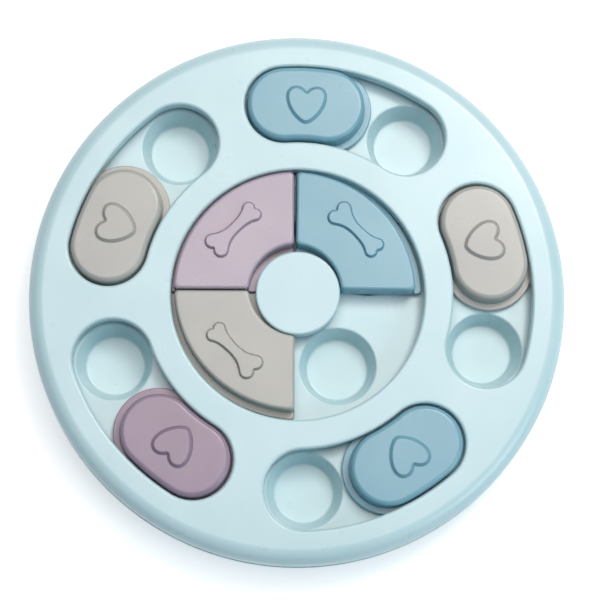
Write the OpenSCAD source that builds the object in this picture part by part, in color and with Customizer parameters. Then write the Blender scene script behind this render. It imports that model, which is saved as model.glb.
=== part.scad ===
// Dog puzzle feeder: a round two-part shell with food cups under captive sliders.
// Millimetres, +Z up. The origin is on the table, on the axis of the disc.

/* [Overall] */
// Diameter across the rim of the tray, the widest part
outer_d = 245; // [238:1:256]
// Height of the cover's flat top above the table
top_h = 30; // [29:0.5:33]
// How far the rubber feet stand out below the tray
foot_h = 2; // [1.5:0.25:3]
// Radius of the rounded shoulder round the cover
shoulder_r = 7.4; // [5:0.2:8]
// How far the tray's rim stands out beyond the cover's wall
rim_step = 0.4; // [0.2:0.1:0.8]
// Height of the tray's rim
rim_h = 2.6; // [2:0.2:4]
// Draft of the two outer walls, in degrees
wall_draft = 0.7; // [0.3:0.1:1.5]
// How far the seam between cover and tray lies below the underside of the deck
seam_drop = 4; // [3:0.5:5.5]

/* [Shell walls] */
// Thickness of the cover's top plate
plate_t = 2.4; // [2:0.1:3]
// Thickness of the cover's outer wall
skirt_t = 2.4; // [2:0.1:3]
// Thickness of the tray's deck, cups and outer wall
tray_t = 2.2; // [1.8:0.1:2.8]
// Thickness of the lips that hang down round the slots and the ring
lip_t = 2; // [1.6:0.1:2.6]
// Rounding of the upper edge of each lip
lip_round = 1.4; // [0.8:0.1:1.8]

/* [Deck and cups] */
// Depth of the slide deck below the cover's flat top
deck_depth = 10.2; // [9.6:0.2:11.6]
// Depth of the cups below the deck
cup_depth = 12.3; // [10.5:0.1:13]
// Land left on the deck between the edge of an outer cup and the edge of its slot
outer_cup_land = 0.9; // [0.6:0.1:2]
// How much smaller the outer cups' radius is at their floor
outer_cup_taper = 3.4; // [2.4:0.1:4.6]
// Land left on the deck between an inner cup and both edges of the ring
inner_cup_land = 1.75; // [1.2:0.05:3]
// How much smaller the inner cups' radius is at their floor
inner_cup_taper = 3.2; // [2.4:0.1:4.4]
// Rounding of the upper edge of each cup
cup_rim_round = 1; // [0.5:0.1:1.5]
// Rounding round the floor of each cup
cup_floor_round = 1.2; // [0.6:0.1:2]
// How far the inner cups lie inward from the middle of the ring
inner_cup_in = 1.45; // [0.8:0.05:1.6]
// Direction of the first inner cup, in degrees
inner_cup_a = 30; // [20:1:45]

/* [Slots] */
// Direction of the middle of the first slot, in degrees
slot_a = 75; // [60:1:90]
// Width of the cover between the slots and the tray's rim
slot_edge = 15.9; // [15:0.1:17.5]
// Width of the slots
slot_w = 36; // [34.5:0.1:37]
// Angle between the centres of a slot's two round ends, in degrees
slot_span = 38.3; // [36.5:0.1:39.5]
// Angle between the two cups under one slot, in degrees
cup_span = 38; // [36:0.1:39]

/* [Heart sliders] */
// Length of a heart slider along the track, without its flange
heart_len = 54.6; // [50:0.2:57]
// Play between a heart slider and each side of its slot
slot_play = 0.6; // [0.4:0.1:1]
// How far the flange stands out round the heart slider
heart_flange_w = 3.1; // [2.6:0.1:4]
// Draft of the heart slider's walls, in degrees
heart_draft = 4; // [2:0.5:6]
// Rounding of the heart slider's upper edge
heart_round = 2.3; // [1.4:0.1:3]

/* [Bone sliders] */
// Width of the cover between the slots and the ring opening
ring_web = 13.2; // [12:0.1:14.5]
// Play between a centred bone slider and the ring opening
ring_play = 1.2; // [0.8:0.1:1.8]
// How far a bone slider can creep across the ring
bone_creep = 2.8; // [1.6:0.1:3]
// Gap between two neighbours that stand evenly on their quarters
bone_gap = 3.3; // [3.1:0.1:4]
// How far the outer flange reaches under the cover
bone_catch = 2.1; // [1.4:0.1:2.6]
// How far the inner flange reaches under the cap
cap_catch = 1.1; // [0.8:0.1:1.6]
// Draft of the bone slider's walls, in degrees
bone_draft = 1; // [0.5:0.5:3]
// Rounding of the bone slider's curved upper edges
bone_round = 1.3; // [0.7:0.1:1.8]
// Bevel of the bone slider's straight upper edges
bone_bevel = 0.5; // [0.3:0.1:0.8]

/* [All sliders] */
// Thickness of the flanges
flange_t = 3.2; // [2.4:0.1:3.6]
// Thickness of the sliders' walls and tops
slider_t = 2; // [1.6:0.1:2.6]
// How far the sliders stand above the cover
slider_proud = 2.2; // [1.4:0.1:3]
// Running gap under the flanges
deck_gap = 0.3; // [0.2:0.05:0.5]
// Running gap above the flanges
lip_gap = 0.5; // [0.3:0.05:0.8]

/* [Heart and bone outlines] */
// Width of the heart
heart_w = 18.6; // [16:0.2:20]
// How far the heart's lobes sit inward from the middle of the slider
heart_in = 0.3; // [0:0.1:2.5]
// Length of the bone
bone_len = 28.8; // [24:0.2:31]
// How far the bone lies outward from the middle of its slider
bone_shift = 1.85; // [0:0.05:2.5]
// Height of the raised hearts
heart_h = 1.3; // [0.6:0.1:2]
// Height of the raised bones
bone_h = 1.7; // [0.8:0.1:2.4]

/* [Centre cap] */
// Radius of the centre cap
cap_r = 19.1; // [18:0.1:20.4]
// How far the cap stands above the cover
cap_proud = 1.1; // [0.6:0.1:2]
// Rounding of the cap's upper edge
cap_round = 1; // [0.6:0.1:1.8]
// Thickness of the cap's top and wall
cap_t = 2.2; // [1.8:0.1:2.8]
// Height of the step by which the hub enters the cap
hub_step = 0.8; // [0.5:0.1:1.4]

/* [Screws and feet] */
// Diameter of the screws
screw_d = 3; // [2.5:0.1:3.5]
// Diameter of the screw heads
screw_head_d = 5.8; // [5:0.1:6.4]
// Height of the screw heads
screw_head_h = 2.2; // [1.6:0.1:2.6]
// Thickness of the tray under the screw heads
screw_seat_t = 3.2; // [2.6:0.1:4]
// Wall round each screw hole in the cover and the cap
boss_wall = 2.6; // [2:0.1:3]
// Distance of the screws and feet from the rim
screw_in = 16.5; // [15.5:0.1:17.5]
// Diameter of the rubber feet
foot_d = 16; // [14:0.5:17]
// Depth of the seat that holds each foot
foot_seat = 1.2; // [0.8:0.1:1.6]
// Wall round the seat of each foot
foot_wall = 1.8; // [1.4:0.1:2.2]
// Length of the plug on each foot
foot_plug = 3; // [2:0.5:4]

/* [Hidden] */
$fn = 96;

slots = 5;                    // slots, heart sliders, feet and cover screws
quarters = 4;                 // inner cups, one for each quarter of the ring
slot_pitch = 360 / slots;
fit_gap = 0.1;                // gap round a foot, a plug or a screw in its hole
stop_gap = 0.3;               // gap left between a slider and the end of its slot
creep_gap = 0.4;              // gap left between the cap and a slider that has crept against it
hub_gap = 1.2;                // gap left between the hub and the flange of that slider
access_gap = 0.7;             // room round a screw head
tip_gap = 1;                  // room past the tip of a screw
over = 1;                     // how far a cutter runs past a face
over_angle = 1;               // angle by which each half of a track runs past its middle
round_steps = 6;              // steps round a rounded edge
curve_steps = 10;             // steps along each curve of a heart or a bone
cleft_steps = 3;              // steps round each inner corner of a heart or a bone
cleft_round = 0.3;            // rounding of those inner corners

// Shape of the heart, as shares of its width: the points that steer its two curves
heart_lobe = [[0, 0.3], [0.194, 0.53], [0.5, 0.43], [0.5, 0.15]];             // from the cleft to the flank
heart_flank = [[0.5, 0.15], [0.5, -0.183], [0.165, -0.527], [0, -0.527]];     // from the flank to the tip

// Shape of the bone, as shares of its length
bone_wide_end = [0.127, 0.097];    // radius of the knobs, distance of their centres from the long axis
bone_slim_end = [0.111, 0.072];    // the same at the other end
bone_shaft = 0.1;                  // half the width of the shaft in its middle
bone_neck_a = 124;                 // direction, in degrees, at which the shaft leaves a knob
bone_neck_reach = 0.09;            // reach of the curve from the knob
bone_shaft_reach = 0.16;           // reach of the curve along the shaft

// Colours of the mouldings
shell_colour = [0.80, 0.90, 0.92];
blue = [0.55, 0.72, 0.79];
tan_grey = [0.76, 0.73, 0.70];
mauve = [0.66, 0.56, 0.65];
pink = [0.79, 0.71, 0.77];
rubber_grey = [0.30, 0.32, 0.33];
steel_grey = [0.70, 0.71, 0.72];
heart_colours = [blue, tan_grey, mauve, blue, tan_grey];
bone_colours = [blue, pink, tan_grey];

// Levels
deck_z = top_h - deck_depth;
flange_z = deck_z + deck_gap;
flange_top_z = flange_z + flange_t;
lip_z = flange_top_z + lip_gap;
slider_top_z = top_h + slider_proud;
cup_floor_z = deck_z - cup_depth;
seam_z = deck_z - tray_t - seam_drop;
hub_top_z = lip_z + hub_step;

// Shell radii
outer_r = outer_d / 2;
track_r = outer_r - slot_edge - slot_w / 2;
ring_r = track_r - slot_w / 2 - ring_web;
cover_foot_r = outer_r - rim_step;
cover_wall_r = cover_foot_r - tan(wall_draft) * (top_h - shoulder_r - seam_z);
flat_r = cover_wall_r - shoulder_r;
deck_r = cover_wall_r - skirt_t - fit_gap;
screw_ring_r = outer_r - screw_in;

// Cups
outer_cup_rim_r = slot_w / 2 - outer_cup_land;
outer_cup_floor_r = outer_cup_rim_r - outer_cup_taper;
inner_cup_rim_r = (ring_r - cap_r) / 2 - inner_cup_land;
inner_cup_floor_r = inner_cup_rim_r - inner_cup_taper;
inner_cup_ring_r = (ring_r + cap_r) / 2 - inner_cup_in;

// Heart sliders and their slots
slot_half = slot_span / 2;
heart_half_w = slot_w / 2 - slot_play;
heart_half = (heart_len / 2 - heart_half_w) / track_r * 180 / PI;
stop_angle = stop_gap / track_r * 180 / PI;
heart_rest = slot_half - heart_half - stop_angle;
heart_travel = 2 * heart_rest;

// Bone sliders, the hub and the cap
bone_out_r = ring_r - ring_play;
bone_in_r = cap_r + bone_creep + creep_gap;
bone_r = (bone_in_r + bone_out_r) / 2 + bone_shift;
flange_out_r = ring_r + bone_catch;
flange_in_r = cap_r - cap_catch;
hub_r = flange_in_r - bone_creep - hub_gap;
// Where each bone slider lies: its quarter's angle, its creep as a share of the room, its own turn
bone_places = [
    [0, [-1, 0], -0.6],
    [90, [0, 0], 0],
    [180, [0.1, 1], 0]
];

// Screws and feet
screw_r = screw_d / 2;
head_r = screw_head_d / 2;
access_r = head_r + access_gap;
boss_r = screw_r + boss_wall;
foot_r = foot_d / 2;
column_r = foot_r + foot_wall;
screw_len = deck_depth - plate_t + screw_seat_t - tip_gap;
cap_screw_len = top_h + cap_proud - cap_t - hub_top_z + screw_seat_t - tip_gap;

// ---- Outlines ----

// Points along an arc about c, from angle a0 to angle a1
function arc(c, r, a0, a1, n = round_steps) =
    [for (i = [0:n]) let (a = a0 + (a1 - a0) * i / n) c + r * [cos(a), sin(a)]];

function after_first(points) = [for (i = [1:len(points) - 1]) points[i]];

// A half outline that starts and ends on the axis, made whole by its mirror image
function both_sides(half) =
    concat(half, [for (i = [len(half) - 2:-1:1]) [-half[i][0], half[i][1]]]);

// Rounded upper edge of a wall that leans in by d degrees and is w from the axis at z0
function leaning_edge(w, z0, z1, r, d) =
    let (x = w - tan(d) * (z1 - r - z0) - r / cos(d))
    arc([x, z1 - r], r, d, 90);

// One point and the outward normal of a cubic curve at t
function cubic(p, t) =
    pow(1 - t, 3) * p[0] + 3 * t * pow(1 - t, 2) * p[1]
    + 3 * t * t * (1 - t) * p[2] + pow(t, 3) * p[3];
function cubic_slope(p, t) =
    3 * pow(1 - t, 2) * (p[1] - p[0]) + 6 * t * (1 - t) * (p[2] - p[1])
    + 3 * t * t * (p[3] - p[2]);
function left_normal(v) = [-v[1], v[0]] / norm(v);

// A cubic curve moved sideways by d, with its first point left out
function moved_cubic(p, d) =
    [for (i = [1:curve_steps]) let (t = i / curve_steps)
        cubic(p, t) + d * left_normal(cubic_slope(p, t))];

// Heart outline with its tip along -Y. It is drawn sharp and moved in by the rounding of its inner corner.
function heart_outline() =
    let (
        w = heart_w + 2 * cleft_round,
        cleft = w * heart_lobe[0],
        way = heart_lobe[1] - heart_lobe[0],
        cleft_a = atan2(way[1], way[0]) - 90
    )
    both_sides(concat(
        arc(cleft, cleft_round, -90, cleft_a, cleft_steps),
        moved_cubic(w * heart_lobe, -cleft_round),
        moved_cubic(w * heart_flank, -cleft_round)
    ));

// A quarter of the bone outline, drawn as the heart's, from the end of its long axis along X
function bone_quarter(end) =
    let (
        len = bone_len + 2 * cleft_round,
        r = len * end[0],
        c = [len / 2 - r, len * end[1]],
        cleft_a = -asin(c[1] / r),
        cleft = c + r * [cos(cleft_a), sin(cleft_a)],
        neck = c + r * [cos(bone_neck_a), sin(bone_neck_a)],
        neck_way = [-sin(bone_neck_a), cos(bone_neck_a)],
        middle = [0, len * bone_shaft],
        side = [
            neck,
            neck + len * bone_neck_reach * neck_way,
            middle + [len * bone_shaft_reach, 0],
            middle
        ]
    )
    concat(
        arc(cleft, cleft_round, 180, 180 + cleft_a, cleft_steps),
        after_first(arc(c, r - cleft_round, cleft_a, bone_neck_a, curve_steps)),
        moved_cubic(side, cleft_round)
    );

// Bone outline with its long axis along Y and its wide end up
function bone_outline() =
    let (
        wide = bone_quarter(bone_wide_end),
        slim = bone_quarter(bone_slim_end),
        right = concat(
            [for (p = wide) [p[1], p[0]]],
            [for (i = [len(slim) - 2:-1:0]) [slim[i][1], -slim[i][0]]]
        )
    )
    both_sides(right);

// ---- Shared forms ----

// Half of a track: a section swept from its round end to a little past the middle
module half_track(half, half_angle) {
    rotate([0, 0, -half_angle]) {
        rotate_extrude(angle = half_angle + over_angle)
            translate([track_r, 0])
                polygon(both_sides(half));
        translate([track_r, 0, 0])
            rotate([0, 0, 180])
                rotate_extrude(angle = 180)
                    polygon(half);
    }
}

// Sweeps a section along a track with round ends. The section is a half outline.
module along_track(half, half_angle) {
    half_track(half, half_angle);
    mirror([0, 1, 0]) half_track(half, half_angle);
}

// An ornament that stands h above the top of a slider
module raised(outline, h) {
    translate([0, 0, slider_top_z - slider_t / 2])
        linear_extrude(slider_t / 2 + h)
            polygon(outline);
}

module at_slots() {
    for (i = [0:slots - 1])
        rotate([0, 0, slot_a + i * slot_pitch])
            children();
}

module at_screws() {
    for (i = [0:slots - 1])
        rotate([0, 0, slot_a + (i + 0.5) * slot_pitch])
            translate([screw_ring_r, 0, 0])
                children();
}

module at_outer_cups() {
    at_slots()
        for (side = [-1, 1])
            rotate([0, 0, side * cup_span / 2])
                translate([track_r, 0, 0])
                    children();
}

module at_inner_cups() {
    for (i = [0:quarters - 1])
        rotate([0, 0, inner_cup_a + i * 360 / quarters])
            translate([inner_cup_ring_r, 0, 0])
                children();
}

// ---- Tray ----

module cup_shell(rim_r, floor_r) {
    translate([0, 0, cup_floor_z - tray_t])
        cylinder(r1 = floor_r + tray_t, r2 = rim_r + tray_t, h = cup_depth + tray_t / 2);
}

module cup_hollow(rim_r, floor_r) {
    lean = atan((rim_r - floor_r) / cup_depth);
    rim_c = [rim_r - tan(lean) * cup_rim_round + cup_rim_round / cos(lean), deck_z - cup_rim_round];
    floor_c = [
        floor_r + tan(lean) * cup_floor_round - cup_floor_round / cos(lean),
        cup_floor_z + cup_floor_round
    ];
    rotate_extrude()
        polygon(concat(
            [[0, cup_floor_z]],
            arc(floor_c, cup_floor_round, -90, -lean),
            arc(rim_c, cup_rim_round, 180 - lean, 90),
            [[rim_c[0], deck_z + over], [0, deck_z + over]]
        ));
}

module tray_shell() {
    bottom_r = cover_foot_r - tan(wall_draft) * (seam_z - rim_h - foot_h);
    rotate_extrude()
        polygon([
            [0, deck_z],
            [deck_r, deck_z],
            [deck_r, seam_z],
            [outer_r, seam_z],
            [outer_r, seam_z - rim_h],
            [cover_foot_r, seam_z - rim_h],
            [bottom_r, foot_h],
            [bottom_r - tray_t, foot_h],
            [deck_r - tray_t, seam_z - tray_t],
            [deck_r - tray_t, deck_z - tray_t],
            [0, deck_z - tray_t]
        ]);
}

module screw_hole(z0, seat_z, z1) {
    translate([0, 0, z0])
        cylinder(r = access_r, h = seat_z - z0);
    cylinder(r = screw_r + fit_gap, h = z1);
}

module base_tray() {
    color(shell_colour)
    difference() {
        union() {
            tray_shell();
            translate([0, 0, cup_floor_z - tray_t])
                cylinder(r = hub_r, h = hub_top_z - cup_floor_z + tray_t);
            at_outer_cups() cup_shell(outer_cup_rim_r, outer_cup_floor_r);
            at_inner_cups() cup_shell(inner_cup_rim_r, inner_cup_floor_r);
            at_screws()
                translate([0, 0, foot_h])
                    cylinder(r = column_r, h = deck_z - foot_h);
        }
        at_outer_cups() cup_hollow(outer_cup_rim_r, outer_cup_floor_r);
        at_inner_cups() cup_hollow(inner_cup_rim_r, inner_cup_floor_r);
        at_screws() {
            screw_hole(foot_h - over, deck_z - screw_seat_t, deck_z + over);
            translate([0, 0, foot_h - over])
                cylinder(r = foot_r + fit_gap, h = foot_seat + over);
        }
        translate([0, 0, -over])
            cylinder(r = hub_r - tray_t, h = hub_top_z - screw_seat_t + over);
        cylinder(r = screw_r + fit_gap, h = hub_top_z + over);
    }
}

// ---- Cover ----

module cover_shell() {
    inner_round = shoulder_r - skirt_t;
    rotate_extrude()
        polygon(concat(
            [[ring_r, lip_z]],
            arc([ring_r + lip_round, top_h - lip_round], lip_round, 180, 90),
            arc([flat_r, top_h - shoulder_r], shoulder_r, 90, 0, 2 * round_steps),
            [[cover_foot_r, seam_z], [cover_foot_r - skirt_t, seam_z]],
            arc([flat_r, top_h - plate_t - inner_round], inner_round, 0, 90),
            [[ring_r + lip_t, top_h - plate_t], [ring_r + lip_t, lip_z]]
        ));
}

module slot_lip() {
    half_w = slot_w / 2 + lip_t;
    z1 = top_h - plate_t / 2;
    along_track([[0, lip_z], [half_w, lip_z], [half_w, z1], [0, z1]], slot_half);
}

module slot_hole() {
    half_w = slot_w / 2;
    along_track(concat(
        [[0, lip_z - over], [half_w, lip_z - over]],
        arc([half_w + lip_round, top_h - lip_round], lip_round, 180, 90),
        [[half_w + lip_round, top_h + over], [0, top_h + over]]
    ), slot_half);
}

module top_cover() {
    color(shell_colour)
    difference() {
        union() {
            cover_shell();
            at_slots() slot_lip();
            at_screws()
                translate([0, 0, deck_z])
                    cylinder(r = boss_r, h = deck_depth - plate_t / 2);
        }
        at_slots() slot_hole();
        at_screws()
            translate([0, 0, deck_z - over])
                cylinder(r = screw_r, h = deck_depth - plate_t + over);
    }
}

// ---- Centre cap ----

module centre_cap() {
    top_z = top_h + cap_proud;
    color(shell_colour)
    difference() {
        rotate_extrude()
            polygon(concat(
                [[0, hub_top_z], [boss_r, hub_top_z], [boss_r, top_z - cap_t]],
                [[cap_r - cap_t, top_z - cap_t], [cap_r - cap_t, lip_z], [cap_r, lip_z]],
                arc([cap_r - cap_round, top_z - cap_round], cap_round, 0, 90),
                [[0, top_z]]
            ));
        translate([0, 0, hub_top_z - over])
            cylinder(r = screw_r, h = top_z - cap_t - hub_top_z + over);
    }
}

// ---- Heart sliders ----

module heart_body() {
    along_track(concat(
        [[0, flange_z], [heart_half_w + heart_flange_w, flange_z]],
        [[heart_half_w + heart_flange_w, flange_top_z], [heart_half_w, flange_top_z]],
        leaning_edge(heart_half_w, flange_top_z, slider_top_z, heart_round, heart_draft),
        [[0, slider_top_z]]
    ), heart_half);
}

module heart_hollow() {
    half_w = heart_half_w - slider_t;
    top_half_w = half_w - tan(heart_draft) * (slider_top_z - slider_t - flange_top_z);
    along_track([
        [0, flange_z - over],
        [half_w, flange_z - over],
        [half_w, flange_top_z],
        [top_half_w, slider_top_z - slider_t],
        [0, slider_top_z - slider_t]
    ], heart_half);
}

module heart_emblem() {
    translate([track_r - heart_in, 0, 0])
        rotate([0, 0, -90])
            raised(heart_outline(), heart_h);
}

module heart_slider(i) {
    color(heart_colours[i])
    rotate([0, 0, slot_a + i * slot_pitch + heart_rest])
        difference() {
            union() {
                heart_body();
                heart_emblem();
            }
            heart_hollow();
        }
}

module heart_slider_1() { heart_slider(0); }
module heart_slider_2() { heart_slider(1); }
module heart_slider_3() { heart_slider(2); }
module heart_slider_4() { heart_slider(3); }
module heart_slider_5() { heart_slider(4); }

// ---- Bone sliders ----

// Cuts a quarter ring back to a straight side, in from the X axis and leaning in by d degrees
module side_cut(inset, z, d) {
    reach = ring_r + bone_catch + over;
    translate([-over, inset, z])
        rotate([-d, 0, 0])
            translate([0, -reach, -reach])
                cube([reach + over, reach, 2 * reach]);
}

module both_side_cuts(inset, z, d) {
    side_cut(inset, z, d);
    mirror([1, -1, 0]) side_cut(inset, z, d);
}

module bone_body() {
    difference() {
        rotate_extrude(angle = 90)
            polygon(concat(
                [[flange_in_r, flange_z], [flange_out_r, flange_z]],
                [[flange_out_r, flange_top_z], [bone_out_r, flange_top_z]],
                leaning_edge(bone_out_r, flange_top_z, slider_top_z, bone_round, bone_draft),
                [for (i = [round_steps:-1:0])
                    let (p = leaning_edge(0, flange_top_z, slider_top_z, bone_round, bone_draft)[i])
                    [bone_in_r - p[0], p[1]]],
                [[bone_in_r, flange_top_z], [flange_in_r, flange_top_z]]
            ));
        both_side_cuts(bone_gap / 2, flange_top_z, bone_draft);
        // bevel of the two straight upper edges
        both_side_cuts(bone_gap / 2 + bone_bevel, slider_top_z, 45);
    }
}

module bone_hollow() {
    z1 = slider_top_z - slider_t;
    lean = tan(bone_draft) * (z1 - flange_top_z);
    difference() {
        rotate_extrude(angle = 90)
            polygon([
                [bone_in_r + slider_t, flange_z - over],
                [bone_out_r - slider_t, flange_z - over],
                [bone_out_r - slider_t, flange_top_z],
                [bone_out_r - slider_t - lean, z1],
                [bone_in_r + slider_t + lean, z1],
                [bone_in_r + slider_t, flange_top_z]
            ]);
        both_side_cuts(bone_gap / 2 + slider_t, flange_top_z, bone_draft);
    }
}

module bone_emblem() {
    rotate([0, 0, 45])
        translate([bone_r, 0, 0])
            raised(bone_outline(), bone_h);
}

module bone_slider(i) {
    place = bone_places[i];
    color(bone_colours[i])
    translate(bone_creep * [place[1][0], place[1][1], 0])
        rotate([0, 0, place[0] + place[2]])
            difference() {
                union() {
                    bone_body();
                    bone_emblem();
                }
                bone_hollow();
            }
}

module bone_slider_1() { bone_slider(0); }
module bone_slider_2() { bone_slider(1); }
module bone_slider_3() { bone_slider(2); }

// ---- Feet and screws ----

module rubber_foot(i) {
    color(rubber_grey)
    rotate([0, 0, slot_a + (i + 0.5) * slot_pitch])
        translate([screw_ring_r, 0, 0]) {
            cylinder(r = foot_r, h = foot_h + foot_seat);
            cylinder(r = access_r - fit_gap, h = foot_h + foot_seat + foot_plug);
        }
}

module rubber_foot_1() { rubber_foot(0); }
module rubber_foot_2() { rubber_foot(1); }
module rubber_foot_3() { rubber_foot(2); }
module rubber_foot_4() { rubber_foot(3); }
module rubber_foot_5() { rubber_foot(4); }

// A pan-head screw that points up from the seat of its head
module screw(seat_z, length) {
    translate([0, 0, seat_z - screw_head_h])
        cylinder(r = head_r, h = screw_head_h);
    translate([0, 0, seat_z - over])
        cylinder(r = screw_r, h = length + over);
}

module cover_screws() {
    color(steel_grey)
    at_screws() screw(deck_z - screw_seat_t, screw_len);
}

module cap_screw() {
    color(steel_grey)
    screw(hub_top_z - screw_seat_t, cap_screw_len);
}

base_tray();
top_cover();
centre_cap();
heart_slider_1();
heart_slider_2();
heart_slider_3();
heart_slider_4();
heart_slider_5();
bone_slider_1();
bone_slider_2();
bone_slider_3();
rubber_foot_1();
rubber_foot_2();
rubber_foot_3();
rubber_foot_4();
rubber_foot_5();
cover_screws();
cap_screw();
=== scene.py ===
"""The looks of a round dog puzzle feeder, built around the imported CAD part.

Lengths are in millimetres and angles in degrees, except where a comment says otherwise.
"""

import math

import bmesh
import bpy
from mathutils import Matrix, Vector
from mathutils.geometry import delaunay_2d_cdt


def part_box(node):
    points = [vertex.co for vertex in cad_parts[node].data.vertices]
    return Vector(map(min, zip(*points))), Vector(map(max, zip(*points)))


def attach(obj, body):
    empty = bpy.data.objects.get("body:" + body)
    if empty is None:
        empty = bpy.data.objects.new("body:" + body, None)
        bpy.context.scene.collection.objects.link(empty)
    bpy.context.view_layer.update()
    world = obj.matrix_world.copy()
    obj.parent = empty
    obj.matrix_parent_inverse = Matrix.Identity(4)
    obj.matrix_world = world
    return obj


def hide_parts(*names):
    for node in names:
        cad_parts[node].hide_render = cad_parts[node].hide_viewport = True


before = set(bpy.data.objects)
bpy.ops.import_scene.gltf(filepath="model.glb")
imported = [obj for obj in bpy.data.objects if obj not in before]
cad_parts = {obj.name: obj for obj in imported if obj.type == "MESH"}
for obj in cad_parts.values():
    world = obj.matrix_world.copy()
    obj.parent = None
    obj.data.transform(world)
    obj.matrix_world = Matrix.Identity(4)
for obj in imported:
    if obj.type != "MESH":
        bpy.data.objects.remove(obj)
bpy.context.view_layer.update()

MM = 0.001

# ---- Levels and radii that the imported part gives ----


def low(node):
    """Lowest corner of a CAD node."""
    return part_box(node)[0] / MM


def high(node):
    """Highest corner of a CAD node."""
    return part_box(node)[1] / MM


TOP_Z = high("top_cover").z
SEAM_Z = low("top_cover").z
TRAY_Z = low("base_tray").z
HUB_TOP_Z = high("base_tray").z
OUTER_R = high("base_tray").x
COVER_FOOT_R = high("top_cover").x
CAP_TOP_Z = high("centre_cap").z
CAP_R = high("centre_cap").x
FLANGE_Z = low("heart_slider_1").z
FOOT_TOP_Z = high("rubber_foot_1").z
SLIDER_OVER = 2.2  # how far a slider's top stands over the cover
SLIDER_TOP_Z = TOP_Z + SLIDER_OVER
HEART_H = high("heart_slider_1").z - SLIDER_TOP_Z
BONE_H = high("bone_slider_1").z - SLIDER_TOP_Z

# ---- Cover and tray ----

DECK_GAP = 0.3  # running gap under a slider's flange
LIP_GAP = 0.5  # running gap above it
DECK_Z = FLANGE_Z - DECK_GAP
PLATE_T = 2.4
TRAY_T = 2.2
LIP_T = 2.0
SHOULDER_R = 7.4
RIM_H = 2.6
WALL_LEAN = math.tan(math.radians(0.7))
FIT_GAP = 0.1
COVER_WALL_R = COVER_FOOT_R - WALL_LEAN * (TOP_Z - SHOULDER_R - SEAM_Z)
FLAT_R = COVER_WALL_R - SHOULDER_R
DECK_R = COVER_WALL_R - PLATE_T - FIT_GAP

SLOTS = 5
QUARTERS = 4
PITCH = 360 / SLOTS
SLOT_A = 75
TRACK_R = 88.6
SLOT_HALF_W = 18
SLOT_HALF_A = 19.15
RING_R = 57.4

CUP_FLOOR_Z = DECK_Z - 12.3
CUP_HALF_A = 19
OUTER_CUP = (17.1, 13.7)  # radius at the deck, radius at the floor
INNER_CUP = (17.4, 14.2)
INNER_CUP_A = 30
INNER_CUP_RING_R = 36.8

# ---- Sliders ----

FLANGE_T = 3.2
FLANGE_TOP_Z = FLANGE_Z + FLANGE_T
LIP_Z = FLANGE_TOP_Z + LIP_GAP
SLIDER_T = 2.0
CEILING_Z = SLIDER_TOP_Z - SLIDER_T  # of the hollow inside a slider

HEART_HALF_W = SLOT_HALF_W - 0.6
HEART_LEN = 54.6
HEART_HALF_A = math.degrees((HEART_LEN / 2 - HEART_HALF_W) / TRACK_R)
HEART_FLANGE_W = HEART_HALF_W + 3.1
HEART_LEAN = math.tan(math.radians(4))
HEART_ROUND = 2.3
STOP_GAP = 0.3
HEART_REST = SLOT_HALF_A - HEART_HALF_A - math.degrees(STOP_GAP / TRACK_R)

BONE_OUT_R = RING_R - 1.2
BONE_IN_R = CAP_R + 3.2
BONE_FLANGE_OUT_R = RING_R + 2.1
BONE_FLANGE_IN_R = CAP_R - 1.1
BONE_GAP = 3.3
BONE_LEAN = math.tan(math.radians(1))
BONE_ROUND = 1.3
BONE_CORNER = 1.9
BONE_HOLLOW_CORNER = 1
BONE_FILLET = 0.25  # where the wall meets the flange
BONE_CREEP = 2.8
# How each bone slider rests: its quarter's angle, its shift in shares of the creep, its own turn
BONE_PLACES = [(0, (-1, 0), -0.6), (90, (0, 0), 0), (180, (0.1, 1), 0)]

# ---- Raised hearts and bones ----

HEART_W = 18.6
HEART_IN = 0.3  # how far a heart sits inside the track's middle line
# Control points of half a heart in shares of its width: from the cleft to the side, then to the tip
HEART_LOBE = ((0, 0.3), (0.194, 0.53), (0.5, 0.43), (0.5, 0.15))
HEART_FLANK = ((0.5, 0.15), (0.5, -0.183), (0.165, -0.527), (0, -0.527))

BONE_LEN = 28.8
BONE_R = 41.1
# In shares of the bone's length: a knob's radius and its distance from the long axis
WIDE_KNOB = (0.127, 0.097)
SLIM_KNOB = (0.111, 0.072)
SHAFT_HALF_W = 0.1
NECK_A = 124  # where the shaft leaves a knob
NECK_PULL = 0.09  # how far the curve from knob to shaft keeps its direction at either end
SHAFT_PULL = 0.16

HEART_BAND = 1.35  # width of the slope round the flat top
BONE_BAND = 0.7
GROOVE_DEPTH = 0.4
GROOVE_EDGE = 0.1
GROOVE_ROUND = 0.05
CLEFT_ROUND = 0.3  # rounding of the inner corners of hearts and bones

# ---- Screws, feet, hub and cap ----

SCREW_R = 1.5
SCREW_END_GAP = 1
HEAD_R = 2.9
HEAD_H = 2.2
HEAD_ROUND = 0.9
RECESS_R = 1.1
RECESS_DEPTH = 0.9
RECESS_MOUTH_R = 1.3
SEAT_T = 3.2
BOSS_R = 4.1
SCREW_RING_R = OUTER_R - 16.5
FOOT_R = 8
FOOT_SEAT = 1.2
COLUMN_R = FOOT_R + 1.8
ACCESS_R = HEAD_R + 0.7
HUB_R = BONE_FLANGE_IN_R - BONE_CREEP - 1.2
CAP_T = 2.2

# ---- Roundings ----

SHARP = 0
CRISP = 0.2
FINE = 0.3
EASED = 0.4
SOFT = 0.5
FULL = 0.6
BROAD = 0.8
LIP_ROUND = 1.4
LIP_EDGE = 0.35
CUP_RIM_ROUND = 1.0
CUP_FLOOR_ROUND = 1.2
CAP_ROUND = 1.0
TRAY_ROUND = 1.0
HAIR = 0.05  # keeps a rounding's end off the profile's end
AWAY = 3  # how far off a profile's end lies that is cut away

# ---- Outlines: lists of points, counter-clockwise ----

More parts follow.
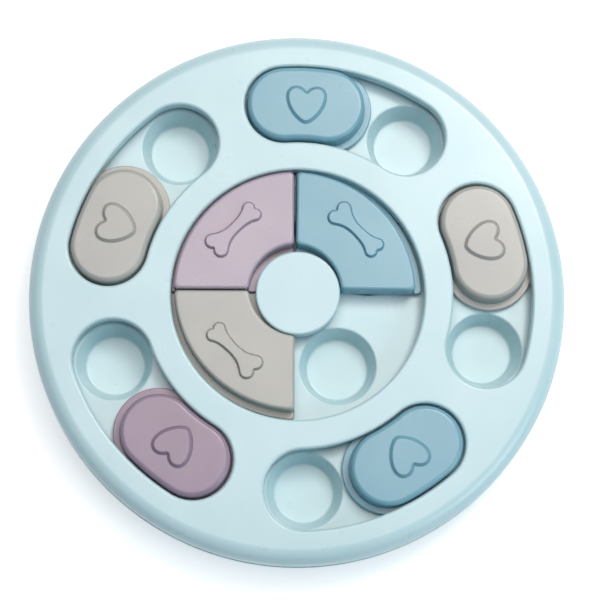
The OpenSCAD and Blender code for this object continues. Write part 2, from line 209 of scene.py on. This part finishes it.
CIRCLE_STEPS = 72
CAP_STEPS = 144
RING_STEPS = 240
WALL_STEPS = 360
TRACK_STEPS = 40
TRACK_END_STEPS = 48
SECTOR_OUT_STEPS = 60
SECTOR_IN_STEPS = 40
CORNER_STEPS = 8
CURVE_STEPS = 20
CLEFT_STEPS = 4


def polar(r, a, centre=(0, 0)):
    """The point at distance r in direction a."""
    a = math.radians(a)
    return (centre[0] + r * math.cos(a), centre[1] + r * math.sin(a))


def arc(centre, r, a0, a1, steps, last=True):
    """Points along an arc from angle a0 to angle a1."""
    count = steps + 1 if last else steps
    return [polar(r, a0 + (a1 - a0) * i / steps, centre) for i in range(count)]


def turned(points, a, shift=(0, 0)):
    """Points turned about the origin by a, then moved by shift."""
    c, s = math.cos(math.radians(a)), math.sin(math.radians(a))
    return [(x * c - y * s + shift[0], x * s + y * c + shift[1]) for x, y in points]


def around(centre=(0, 0), steps=CIRCLE_STEPS):
    """An outline function: circles of any radius about one centre."""
    return lambda r: arc(centre, r, 0, 360, steps, last=False)


def track(half_w, half_a):
    """A slot or slider outline: an arc along the track with round ends, of half width half_w."""
    end, start = polar(TRACK_R, half_a), polar(TRACK_R, -half_a)
    return (
        arc((0, 0), TRACK_R + half_w, -half_a, half_a, TRACK_STEPS, last=False)
        + arc(end, half_w, half_a, half_a + 180, TRACK_END_STEPS, last=False)
        + arc((0, 0), TRACK_R - half_w, half_a, -half_a, TRACK_STEPS, last=False)
        + arc(start, half_w, 180 - half_a, 360 - half_a, TRACK_END_STEPS, last=False)
    )


def sector(out_r, in_r, inset, corner):
    """A quarter ring, set in from both axes by inset, with rounded corners."""
    away = inset + corner
    out_c = (math.sqrt((out_r - corner) ** 2 - away ** 2), away)
    in_c = (math.sqrt((in_r + corner) ** 2 - away ** 2), away)
    out_a = math.degrees(math.atan2(out_c[1], out_c[0]))
    in_a = math.degrees(math.atan2(in_c[1], in_c[0]))
    return (
        arc(out_c, corner, -90, out_a, CORNER_STEPS)
        + arc((0, 0), out_r, out_a, 90 - out_a, SECTOR_OUT_STEPS)[1:]
        + arc(out_c[::-1], corner, 90 - out_a, 180, CORNER_STEPS)[1:]
        + arc(in_c[::-1], corner, 180, 270 - in_a, CORNER_STEPS)
        + arc((0, 0), in_r, 90 - in_a, in_a, SECTOR_IN_STEPS)[1:]
        + arc(in_c, corner, 180 + in_a, 270, CORNER_STEPS)[1:]
    )


def moved_cubic(points, d):
    """Points along a cubic curve with four control points, moved to its right by d, without
    the first."""
    result = []
    for i in range(1, CURVE_STEPS + 1):
        t = i / CURVE_STEPS
        u = 1 - t
        at = [
            u ** 3 * p + 3 * t * u * u * q + 3 * t * t * u * r + t ** 3 * s
            for p, q, r, s in zip(*points)
        ]
        slope = [
            u * u * (q - p) + 2 * t * u * (r - q) + t * t * (s - r)
            for p, q, r, s in zip(*points)
        ]
        size = math.hypot(*slope)
        result.append((at[0] + d * slope[1] / size, at[1] - d * slope[0] / size))
    return result


def heart(inset):
    """A heart outline with its tip towards -Y. It is drawn sharp and moved inward by the inset."""
    width = HEART_W + 2 * CLEFT_ROUND
    lobe = [(width * x, width * y) for x, y in HEART_LOBE]
    flank = [(width * x, width * y) for x, y in HEART_FLANK]
    cleft_a = math.degrees(math.atan2(lobe[1][1] - lobe[0][1], lobe[1][0] - lobe[0][0])) - 90
    half = arc(lobe[0], inset, -90, cleft_a, CLEFT_STEPS)
    half += moved_cubic(lobe, inset) + moved_cubic(flank, inset)
    return half + [(-x, y) for x, y in half[-2:0:-1]]


def bone_quarter(inset, knob, spread):
    """From the bone's end on its long axis, X, round one knob and to the middle of the shaft."""
    size = BONE_LEN + 2 * CLEFT_ROUND
    r = size * knob
    centre = (size / 2 - r, size * spread)
    cleft_a = -math.degrees(math.asin(centre[1] / r))
    neck = polar(r, NECK_A, centre)
    middle = (0, SHAFT_HALF_W * size)
    side = [
        neck,
        polar(NECK_PULL * size, NECK_A + 90, neck),
        (SHAFT_PULL * size, middle[1]),
        middle,
    ]
    return (
        arc(polar(r, cleft_a, centre), inset, 180, 180 + cleft_a, CLEFT_STEPS, last=False)
        + arc(centre, r - inset, cleft_a, NECK_A, CURVE_STEPS)
        + moved_cubic(side, -inset)
    )


def bone(inset):
    """A bone outline with its long axis along Y and its wide end up, moved inward by the inset."""
    wide = bone_quarter(inset, *WIDE_KNOB)
    slim = bone_quarter(inset, *SLIM_KNOB)
    half = [(y, x) for x, y in wide] + [(y, -x) for x, y in slim[-2::-1]]
    return half + [(-x, y) for x, y in half[-2:0:-1]]


# ---- Profiles: (offset or radius, height) points ----

ROUND_STEPS = 6
LIP_STEPS = 8
SHOULDER_STEPS = 12


def rounded(*corners, steps=ROUND_STEPS):
    """The profile through the corners. The first and last are (offset, height) and stay; each
    one between is (offset, height, radius) and is rounded by its radius."""
    result = [corners[0]]
    for before, (*at, radius), after in zip(corners, corners[1:], corners[2:]):
        p, q, s = Vector(before[:2]), Vector(at), Vector(after[:2])
        if radius == SHARP:
            result.append(tuple(q))
            continue
        u, v = (p - q).normalized(), (s - q).normalized()
        half = u.angle(v) / 2
        centre = q + (u + v).normalized() * (radius / math.sin(half))
        start = q + u * (radius / math.tan(half)) - centre
        end = q + v * (radius / math.tan(half)) - centre
        a0, a1 = math.atan2(start.y, start.x), math.atan2(end.y, end.x)
        turn = (a1 - a0 + math.pi) % (2 * math.pi) - math.pi
        result += arc(centre, radius, math.degrees(a0), math.degrees(a0 + turn), steps)
    return result + [corners[-1]]


def goes_round(outline, x, y):
    """Whether a closed outline goes round the point (x, y)."""
    inside = False
    for (x0, y0), (x1, y1) in zip(outline, outline[1:] + outline[:1]):
        if (y0 > y) != (y1 > y) and x < x0 + (x1 - x0) * (y - y0) / (y1 - y0):
            inside = not inside
    return inside


# ---- Mesh building ----

SAME_POINT = 0.002  # points of a mesh that lie closer than this are one
SAME_CORNER = 1e-5  # the same for the corners of a flat face
SHARP_EDGE_A = 40
KEEP_TRIANGLES_INSIDE = 1  # delaunay_2d_cdt's number for it
EVEN_WEIGHT = 100


class Shell:
    """A closed mesh made of rings of points, the walls between them and flat faces across them."""

    def __init__(self):
        self.bm = bmesh.new()

    def ring(self, points, z):
        return [self.bm.verts.new((x * MM, y * MM, z * MM)) for x, y in points]

    def wall(self, a, b):
        for i in range(len(a)):
            j = (i + 1) % len(a)
            self.bm.faces.new((a[i], a[j], b[j], b[i]))

    def loft(self, outline, profile):
        """Rings of outline(offset) at each (offset, z) of the profile, joined by walls. Returns
        the first and the last ring."""
        rings = [self.ring(outline(offset), z) for offset, z in profile]
        for a, b in zip(rings, rings[1:]):
            self.wall(a, b)
        return rings[0], rings[-1]

    def flat(self, *loops):
        """A flat face inside the first loop, with the others as holes."""
        verts = [v for loop in loops for v in loop]
        edges, start = [], 0
        for loop in loops:
            edges += [(start + i, start + (i + 1) % len(loop)) for i in range(len(loop))]
            start += len(loop)
        points = [v.co.xy / MM for v in verts]
        outlines = [[tuple(v.co.xy / MM) for v in loop] for loop in loops]
        result = delaunay_2d_cdt(points, edges, [], KEEP_TRIANGLES_INSIDE, SAME_CORNER)
        places, _, triangles, sources = result[:4]
        for triangle in triangles:
            middle = sum((places[i] for i in triangle), Vector((0, 0))) / 3
            if sum(goes_round(outline, *middle) for outline in outlines) == 1:
                self.bm.faces.new([verts[sources[i][0]] for i in triangle])

    def piece(self, name, body, material, slot, *nodes):
        """Makes the object, which stands for the CAD nodes and rides on the body."""
        bmesh.ops.remove_doubles(self.bm, verts=self.bm.verts, dist=SAME_POINT * MM)
        bmesh.ops.recalc_face_normals(self.bm, faces=self.bm.faces)
        mesh = bpy.data.meshes.new(name)
        self.bm.to_mesh(mesh)
        self.bm.free()
        mesh.shade_smooth()
        mesh.set_sharp_from_angle(angle=math.radians(SHARP_EDGE_A))
        mesh.materials.append(material)
        obj = bpy.data.objects.new(name, mesh)
        bpy.context.scene.collection.objects.link(obj)
        weighted = obj.modifiers.new("even_shading", "WEIGHTED_NORMAL")
        weighted.keep_sharp = True
        weighted.weight = EVEN_WEIGHT
        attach(obj, body)
        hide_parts(*nodes)


# ---- Materials ----

# Noise as (scale in cells per metre, detail)
DRIFT_NOISE = (28, 3)
HAZE_NOISE = (60, 4)
SKIN_NOISE = (1400, 2)
DRIFT_RANGE = (0.35, 0.65)  # of the noise, from the full colour to the full tint
PLASTIC_ROUGHNESS = 0.28
RUBBER_ROUGHNESS = 0.75
STEEL_ROUGHNESS = 0.35
GLOSS_RANGE = (-0.03, 0.04)  # about the roughness
SKIN_STRENGTH = 0.05
SKIN_DEPTH = 0.05
PLASTIC_IOR = 1.54


def linear(colour):
    """Screen values of 0 to 255 by the sRGB curve, as the linear RGBA that a shader takes."""
    shares = [v / 255 for v in colour]
    return (*(v / 12.92 if v <= 0.04045 else ((v + 0.055) / 1.055) ** 2.4 for v in shares), 1)


def set_inputs(node, values):
    for name, value in values.items():
        node.inputs[name].default_value = value


def surface(name, colour, tint, roughness=PLASTIC_ROUGHNESS, metallic=0):
    """A moulded surface: a colour that drifts softly to a tint, uneven gloss and a fine skin."""
    material = bpy.data.materials.new(name)
    material.use_nodes = True
    nodes, links = material.node_tree.nodes, material.node_tree.links
    shader = nodes["Principled BSDF"]
    place = nodes.new("ShaderNodeTexCoord")

    def noise(scale, detail):
        node = nodes.new("ShaderNodeTexNoise")
        set_inputs(node, {"Scale": scale, "Detail": detail})
        links.new(place.outputs["Object"], node.inputs["Vector"])
        return node.outputs["Fac"]

    def mapped(value, limits):
        node = nodes.new("ShaderNodeMapRange")
        set_inputs(node, limits)
        links.new(value, node.inputs["Value"])
        return node.outputs["Result"]

    mix = nodes.new("ShaderNodeMix")
    mix.data_type = "RGBA"
    set_inputs(mix, {"A": linear(colour), "B": linear(tint)})
    drift = mapped(noise(*DRIFT_NOISE), {"From Min": DRIFT_RANGE[0], "From Max": DRIFT_RANGE[1]})
    links.new(drift, mix.inputs["Factor"])
    links.new(mix.outputs["Result"], shader.inputs["Base Color"])

    glossiest, dullest = (roughness + change for change in GLOSS_RANGE)
    gloss = mapped(noise(*HAZE_NOISE), {"To Min": glossiest, "To Max": dullest})
    links.new(gloss, shader.inputs["Roughness"])

    bump = nodes.new("ShaderNodeBump")
    set_inputs(bump, {"Strength": SKIN_STRENGTH, "Distance": SKIN_DEPTH * MM})
    links.new(noise(*SKIN_NOISE), bump.inputs["Height"])
    links.new(bump.outputs["Normal"], shader.inputs["Normal"])
    set_inputs(shader, {"Metallic": metallic, "IOR": PLASTIC_IOR})
    return material


SHELL = surface("shell_plastic", (193, 219, 224), (187, 215, 219))
BLUE = surface("blue_plastic", (125, 171, 186), (117, 165, 181))
TAN = surface("tan_plastic", (176, 175, 168), (169, 168, 163))
MAUVE = surface("mauve_plastic", (156, 136, 154), (150, 130, 148))
PINK = surface("pink_plastic", (176, 162, 175), (170, 156, 170))
RUBBER = surface("foot_rubber", (84, 88, 90), (74, 78, 80), RUBBER_ROUGHNESS)
STEEL = surface("screw_steel", (190, 191, 193), (178, 179, 181), STEEL_ROUGHNESS, metallic=1)

BLUE_LOOK = (BLUE, "slider_blue")
TAN_LOOK = (TAN, "slider_tan")
MAUVE_LOOK = (MAUVE, "slider_mauve")
PINK_LOOK = (PINK, "slider_pink")
HEART_LOOKS = [BLUE_LOOK, TAN_LOOK, MAUVE_LOOK, BLUE_LOOK, TAN_LOOK]
BONE_LOOKS = [BLUE_LOOK, PINK_LOOK, TAN_LOOK]

# ---- Pieces ----


def at_slot(k):
    """The direction of a slot's middle."""
    return SLOT_A + k * PITCH


def at_screw(k):
    """The place of a screw, half-way between two slots."""
    return polar(SCREW_RING_R, SLOT_A + (k + 0.5) * PITCH)


def outer_cup_places():
    return [
        polar(TRACK_R, at_slot(k) + side * CUP_HALF_A) for k in range(SLOTS) for side in (-1, 1)
    ]


def inner_cup_places():
    return [polar(INNER_CUP_RING_R, INNER_CUP_A + 360 / QUARTERS * k) for k in range(QUARTERS)]


def build_cover():
    shell = Shell()
    skirt = rounded(
        (FLAT_R, TOP_Z),
        (COVER_WALL_R, TOP_Z, SHOULDER_R - HAIR),
        (COVER_FOOT_R, SEAM_Z, SOFT),
        (COVER_FOOT_R - PLATE_T, SEAM_Z, CRISP),
        (COVER_WALL_R - PLATE_T, TOP_Z - PLATE_T, SHOULDER_R - PLATE_T - HAIR),
        (FLAT_R, TOP_Z - PLATE_T),
        steps=SHOULDER_STEPS,
    )[1:-1]
    top, under = shell.loft(around(steps=WALL_STEPS), skirt)
    tops, unders = [], []

    def add_lip(outline, half_w):
        lip = rounded(
            (half_w + AWAY, TOP_Z),
            (half_w, TOP_Z, LIP_ROUND),
            (half_w, LIP_Z, LIP_EDGE),
            (half_w + LIP_T, LIP_Z, CRISP),
            (half_w + LIP_T, TOP_Z - PLATE_T),
            steps=LIP_STEPS,
        )[1:]
        upper, lower = shell.loft(outline, lip)
        tops.append(upper)
        unders.append(lower)

    boss = [
        (BOSS_R, TOP_Z - PLATE_T),
        (BOSS_R, DECK_Z),
        (SCREW_R, DECK_Z),
        (SCREW_R, TOP_Z - PLATE_T),
    ]
    for k in range(SLOTS):
        add_lip(lambda w, a=at_slot(k): turned(track(w, SLOT_HALF_A), a), SLOT_HALF_W)
        root, pilot_end = shell.loft(around(at_screw(k)), boss)
        unders.append(root)
        shell.flat(pilot_end)
    add_lip(around(steps=RING_STEPS), RING_R)
    shell.flat(top, *tops)
    shell.flat(under, *unders)
    shell.piece("cover_shell", "housing", SHELL, "shell", "top_cover")


def build_tray():
    shell = Shell()
    bottom_r = COVER_FOOT_R - WALL_LEAN * (SEAM_Z - RIM_H - TRAY_Z)
    rim = rounded(
        (DECK_R, DECK_Z),
        (DECK_R, SEAM_Z, SHARP),
        (OUTER_R, SEAM_Z, FINE),
        (OUTER_R, SEAM_Z - RIM_H, FINE),
        (COVER_FOOT_R, SEAM_Z - RIM_H, SHARP),
        (bottom_r, TRAY_Z, BROAD),
        (bottom_r - TRAY_T, TRAY_Z, SOFT),
        (DECK_R - TRAY_T, SEAM_Z - TRAY_T, TRAY_ROUND),
        (DECK_R - TRAY_T, DECK_Z - TRAY_T),
    )
    top, under = shell.loft(around(steps=WALL_STEPS), rim)
    tops, unders = [], []
    cup_depth = DECK_Z - CUP_FLOOR_Z
    for places, (rim_r, floor_r) in (
        (outer_cup_places(), OUTER_CUP),
        (inner_cup_places(), INNER_CUP),
    ):
        under_r = floor_r + TRAY_T + (rim_r - floor_r) * cup_depth / (cup_depth + TRAY_T / 2)
        hollow = rounded(
            (rim_r + AWAY, DECK_Z),
            (rim_r, DECK_Z, CUP_RIM_ROUND),
            (floor_r, CUP_FLOOR_Z, CUP_FLOOR_ROUND),
            (0, CUP_FLOOR_Z),
        )[1:-1]
        outside = rounded(
            (under_r + AWAY, DECK_Z - TRAY_T),
            (under_r, DECK_Z - TRAY_T, FULL),
            (floor_r + TRAY_T, CUP_FLOOR_Z - TRAY_T, BROAD),
            (0, CUP_FLOOR_Z - TRAY_T),
        )[1:-1]
        for place in places:
            for profile, openings in ((hollow, tops), (outside, unders)):
                opening, floor = shell.loft(around(place), profile)
                openings.append(opening)
                shell.flat(floor)
    column = rounded(
        (COLUMN_R, DECK_Z - TRAY_T),
        (COLUMN_R, TRAY_Z, EASED),
        (FOOT_R + FIT_GAP, TRAY_Z, FINE),
        (FOOT_R + FIT_GAP, TRAY_Z + FOOT_SEAT, SHARP),
        (ACCESS_R, TRAY_Z + FOOT_SEAT, SHARP),
        (ACCESS_R, DECK_Z - SEAT_T, SHARP),
        (SCREW_R + FIT_GAP, DECK_Z - SEAT_T, SHARP),
        (SCREW_R + FIT_GAP, DECK_Z),
    )
    for k in range(SLOTS):
        root, screw_hole = shell.loft(around(at_screw(k)), column)
        unders.append(root)
        tops.append(screw_hole)
    hub_foot_z = CUP_FLOOR_Z - TRAY_T
    hub = rounded(
        (HUB_R, DECK_Z),
        (HUB_R, HUB_TOP_Z, EASED),
        (SCREW_R + FIT_GAP, HUB_TOP_Z, SHARP),
        (SCREW_R + FIT_GAP, HUB_TOP_Z - SEAT_T, SHARP),
        (HUB_R - TRAY_T, HUB_TOP_Z - SEAT_T, SOFT),
        (HUB_R - TRAY_T, hub_foot_z, FINE),
        (HUB_R, hub_foot_z, FINE),
        (HUB_R, DECK_Z - TRAY_T),
    )
    hub_root, hub_under = shell.loft(around(), hub)
    shell.flat(top, *tops, hub_root)
    shell.flat(under, *unders, hub_under)
    shell.piece("tray_shell", "housing", SHELL, "shell", "base_tray")


def build_cap():
    shell = Shell()
    profile = rounded(
        (0, CAP_TOP_Z),
        (CAP_R, CAP_TOP_Z, CAP_ROUND),
        (CAP_R, LIP_Z, FINE),
        (CAP_R - CAP_T, LIP_Z, FINE),
        (CAP_R - CAP_T, CAP_TOP_Z - CAP_T, SOFT),
        (BOSS_R, CAP_TOP_Z - CAP_T, SOFT),
        (BOSS_R, HUB_TOP_Z, FINE),
        (SCREW_R, HUB_TOP_Z, SHARP),
        (SCREW_R, CAP_TOP_Z - CAP_T),
    )[1:]
    top, pilot_end = shell.loft(around(steps=CAP_STEPS), profile)
    shell.flat(top)
    shell.flat(pilot_end)
    shell.piece("cap_shell", "housing", SHELL, "shell", "centre_cap")


def add_ornament(shell, outline, band, height):
    """An ornament that stands on a slider's top, with a fine groove and a sloping band round its
    flat top. Returns its lower edge, for the slider's top face."""
    profile = rounded(
        (0, SLIDER_TOP_Z + GROOVE_EDGE),
        (GROOVE_EDGE, SLIDER_TOP_Z, SHARP),
        (CLEFT_ROUND, SLIDER_TOP_Z - GROOVE_DEPTH, GROOVE_ROUND),
        (CLEFT_ROUND + band, SLIDER_TOP_Z + height, EASED),
        (CLEFT_ROUND + band + AWAY, SLIDER_TOP_Z + height),
    )[1:-1]
    lower, upper = shell.loft(outline, profile)
    shell.flat(upper)
    return lower


def build_heart_slider(k, material, slot):
    shell = Shell()
    top_w = HEART_HALF_W - HEART_LEAN * (SLIDER_TOP_Z - FLANGE_TOP_Z)
    hollow_w = HEART_HALF_W - SLIDER_T
    profile = rounded(
        (0, CEILING_Z),
        (top_w - SLIDER_T, CEILING_Z, BROAD),
        (hollow_w, FLANGE_TOP_Z, SHARP),
        (hollow_w, FLANGE_Z, CRISP),
        (HEART_FLANGE_W, FLANGE_Z, FINE),
        (HEART_FLANGE_W, FLANGE_TOP_Z, FULL),
        (HEART_HALF_W, FLANGE_TOP_Z, FINE),
        (top_w, SLIDER_TOP_Z, HEART_ROUND),
        (0, SLIDER_TOP_Z),
    )[1:-1]
    place = at_slot(k) + HEART_REST
    centre = (TRACK_R - HEART_IN, 0)

    def placed_heart(inset):
        return turned(turned(heart(inset), -90, centre), place)

    ceiling, top = shell.loft(lambda w: turned(track(w, HEART_HALF_A), place), profile)
    shell.flat(ceiling)
    shell.flat(top, add_ornament(shell, placed_heart, HEART_BAND, HEART_H))
    name = f"heart_slider_shell_{k + 1}"
    shell.piece(name, f"heart_{k + 1}", material, slot, f"heart_slider_{k + 1}")


def build_bone_slider(k, material, slot):
    shell = Shell()
    quarter, creep, turn = BONE_PLACES[k]
    shift = (creep[0] * BONE_CREEP, creep[1] * BONE_CREEP)

    def placed(points):
        return turned(points, quarter + turn, shift)

    def placed_bone(inset):
        return placed(turned(turned(bone(inset), 0, (BONE_R, 0)), 45))

    def inset_at(z):
        return BONE_GAP / 2 + BONE_LEAN * (z - FLANGE_TOP_Z)

    rings = []

    def add_ring(out_r, in_r, inset, z, corner=BONE_CORNER):
        rings.append(shell.ring(placed(sector(out_r, in_r, inset, corner)), z))

    # The hollow, from its ceiling down to the underside
    for z in (CEILING_Z, FLANGE_TOP_Z, FLANGE_Z):
        t = BONE_LEAN * max(z - FLANGE_TOP_Z, 0) + SLIDER_T
        add_ring(BONE_OUT_R - t, BONE_IN_R + t, inset_at(z) + SLIDER_T, z, BONE_HOLLOW_CORNER)
    # The flange, which stands out on the two curved sides alone
    flange = rounded(
        (-AWAY, FLANGE_Z),
        (0, FLANGE_Z, FINE),
        (0, FLANGE_TOP_Z, SOFT),
        (-AWAY, FLANGE_TOP_Z),
    )[1:-1]
    for d, z in flange:
        add_ring(BONE_FLANGE_OUT_R + d, BONE_FLANGE_IN_R - d, inset_at(z) - d, z)
    # The foot of the wall, the wall and its rounded upper edge
    out_r, in_r = BONE_OUT_R + BONE_FILLET, BONE_IN_R - BONE_FILLET
    add_ring(out_r, in_r, inset_at(FLANGE_TOP_Z), FLANGE_TOP_Z)
    lean = BONE_LEAN * (SLIDER_TOP_Z - FLANGE_TOP_Z)
    wall = rounded(
        (0, FLANGE_TOP_Z),
        (-lean, SLIDER_TOP_Z, BONE_ROUND),
        (-lean - AWAY, SLIDER_TOP_Z),
    )[:-1]
    for d, z in wall:
        up = z + BONE_FILLET if z == FLANGE_TOP_Z else z
        add_ring(BONE_OUT_R + d, BONE_IN_R - d, BONE_GAP / 2 - d, up)
    for a, b in zip(rings, rings[1:]):
        shell.wall(a, b)
    shell.flat(rings[0])
    shell.flat(rings[-1], add_ornament(shell, placed_bone, BONE_BAND, BONE_H))
    name = f"bone_slider_shell_{k + 1}"
    shell.piece(name, f"bone_{k + 1}", material, slot, f"bone_slider_{k + 1}")


def build_foot(k):
    shell = Shell()
    profile = rounded(
        (0, 0),
        (FOOT_R, 0, FULL),
        (FOOT_R, TRAY_Z + FOOT_SEAT, CRISP),
        (ACCESS_R - FIT_GAP, TRAY_Z + FOOT_SEAT, CRISP),
        (ACCESS_R - FIT_GAP, FOOT_TOP_Z, EASED),
        (0, FOOT_TOP_Z),
    )[1:-1]
    bottom, top = shell.loft(around(at_screw(k)), profile)
    shell.flat(bottom)
    shell.flat(top)
    shell.piece(f"foot_pad_{k + 1}", "housing", RUBBER, "foot_rubber", f"rubber_foot_{k + 1}")


def add_screw(shell, centre, seat_z, tip_z):
    """A pan-head screw that points up, with a round drive recess in its head."""
    head_z = seat_z - HEAD_H
    profile = rounded(
        (0, head_z + RECESS_DEPTH),
        (RECESS_R, head_z + RECESS_DEPTH, CRISP),
        (RECESS_MOUTH_R, head_z, SHARP),
        (HEAD_R, head_z, HEAD_ROUND),
        (HEAD_R, seat_z, SHARP),
        (SCREW_R, seat_z, SHARP),
        (SCREW_R, tip_z, SOFT),
        (0, tip_z),
    )[1:-1]
    recess, tip = shell.loft(around(centre), profile)
    shell.flat(recess)
    shell.flat(tip)


def build_screws():
    shell = Shell()
    for k in range(SLOTS):
        add_screw(shell, at_screw(k), DECK_Z - SEAT_T, TOP_Z - PLATE_T - SCREW_END_GAP)
    shell.piece("cover_screw_set", "housing", STEEL, "screw_steel", "cover_screws")
    shell = Shell()
    add_screw(shell, (0, 0), HUB_TOP_Z - SEAT_T, CAP_TOP_Z - CAP_T - SCREW_END_GAP)
    shell.piece("cap_screw_part", "housing", STEEL, "screw_steel", "cap_screw")


build_tray()
build_cover()
build_cap()
for k, look in enumerate(HEART_LOOKS):
    build_heart_slider(k, *look)
for k, look in enumerate(BONE_LOOKS):
    build_bone_slider(k, *look)
for k in range(SLOTS):
    build_foot(k)
build_screws()

# ---- Floor, light and camera: places and sizes in metres ----

FLOOR_HALF = 3
FLOOR_GAP = 0.00005  # keeps the floor from lying in the feet's own plane
FLOOR_COLOUR = (0.8, 0.8, 0.8, 1)
FLOOR_ROUGHNESS = 0.9
FLOOR_GLOW_SEEN = 0.5  # for the camera, reflections and refractions
FLOOR_GLOW_ELSE = 0.25  # for the rays that light the object
WHITE = (1, 1, 1, 1)

WORLD_COLOUR = (0.4, 0.75, 1, 1)
WORLD_STRENGTH = 0.2
# Name, place, width and height, power in watts, colour
SOFTBOXES = [
    ("key", (0.4, 0.5, 1.1), (0.35, 0.35), 5.5, (1, 0.96, 0.92)),
    ("sky", (0.03, 0.28, 1.12), (0.9, 0.8), 8.3, (1, 0.9, 0.85)),
    ("side_right", (0.75, -0.5, 0.6), (0.5, 0.4), 2.7, (0.72, 0.9, 1)),
]

CAMERA_PLACE = (-0.01808, -0.1500, 0.87583)
CAMERA_TURN = (9.85, -1.29, 0)
SENSOR_MM = 36
LENS_MM = 114.03


def build_floor():
    grid = bmesh.new()
    bmesh.ops.create_grid(grid, x_segments=1, y_segments=1, size=FLOOR_HALF)
    mesh = bpy.data.meshes.new("floor")
    grid.to_mesh(mesh)
    grid.free()
    floor = bpy.data.objects.new("floor", mesh)
    floor.location.z = -FLOOR_GAP
    bpy.context.scene.collection.objects.link(floor)
    material = bpy.data.materials.new("floor_white")
    material.use_nodes = True
    nodes, links = material.node_tree.nodes, material.node_tree.links
    shader = nodes["Principled BSDF"]
    set_inputs(
        shader,
        {"Base Color": FLOOR_COLOUR, "Roughness": FLOOR_ROUGHNESS, "Emission Color": WHITE},
    )
    ray = nodes.new("ShaderNodeLightPath")
    seen = ray.outputs["Is Camera Ray"]
    for kind in ("Is Glossy Ray", "Is Transmission Ray"):
        either = nodes.new("ShaderNodeMath")
        either.operation = "MAXIMUM"
        links.new(seen, either.inputs[0])
        links.new(ray.outputs[kind], either.inputs[1])
        seen = either.outputs["Value"]
    glow = nodes.new("ShaderNodeMapRange")
    set_inputs(glow, {"To Min": FLOOR_GLOW_ELSE, "To Max": FLOOR_GLOW_SEEN})
    links.new(seen, glow.inputs["Value"])
    links.new(glow.outputs["Result"], shader.inputs["Emission Strength"])
    mesh.materials.append(material)


def add_softbox(name, place, size, power, colour):
    """A rectangular lamp that points at the middle of the toy."""
    light = bpy.data.lights.new(name, "AREA")
    light.shape = "RECTANGLE"
    light.size, light.size_y = size
    light.energy = power
    light.color = colour
    lamp = bpy.data.objects.new(name, light)
    lamp.location = place
    aim = Vector((0, 0, TOP_Z * MM)) - Vector(place)
    lamp.rotation_euler = aim.to_track_quat("-Z", "Y").to_euler()
    bpy.context.scene.collection.objects.link(lamp)


def build_light():
    world = bpy.data.worlds.new("studio")
    world.use_nodes = True
    background = world.node_tree.nodes["Background"]
    set_inputs(background, {"Color": WORLD_COLOUR, "Strength": WORLD_STRENGTH})
    bpy.context.scene.world = world
    for softbox in SOFTBOXES:
        add_softbox(*softbox)


def build_camera():
    data = bpy.data.cameras.new("camera")
    data.sensor_width = SENSOR_MM
    data.lens = LENS_MM
    camera = bpy.data.objects.new("camera", data)
    camera.location = CAMERA_PLACE
    camera.rotation_euler = [math.radians(a) for a in CAMERA_TURN]
    bpy.context.scene.collection.objects.link(camera)
    bpy.context.scene.camera = camera


build_floor()
build_light()
build_camera()
bpy.context.scene.view_settings.view_transform = "Standard"
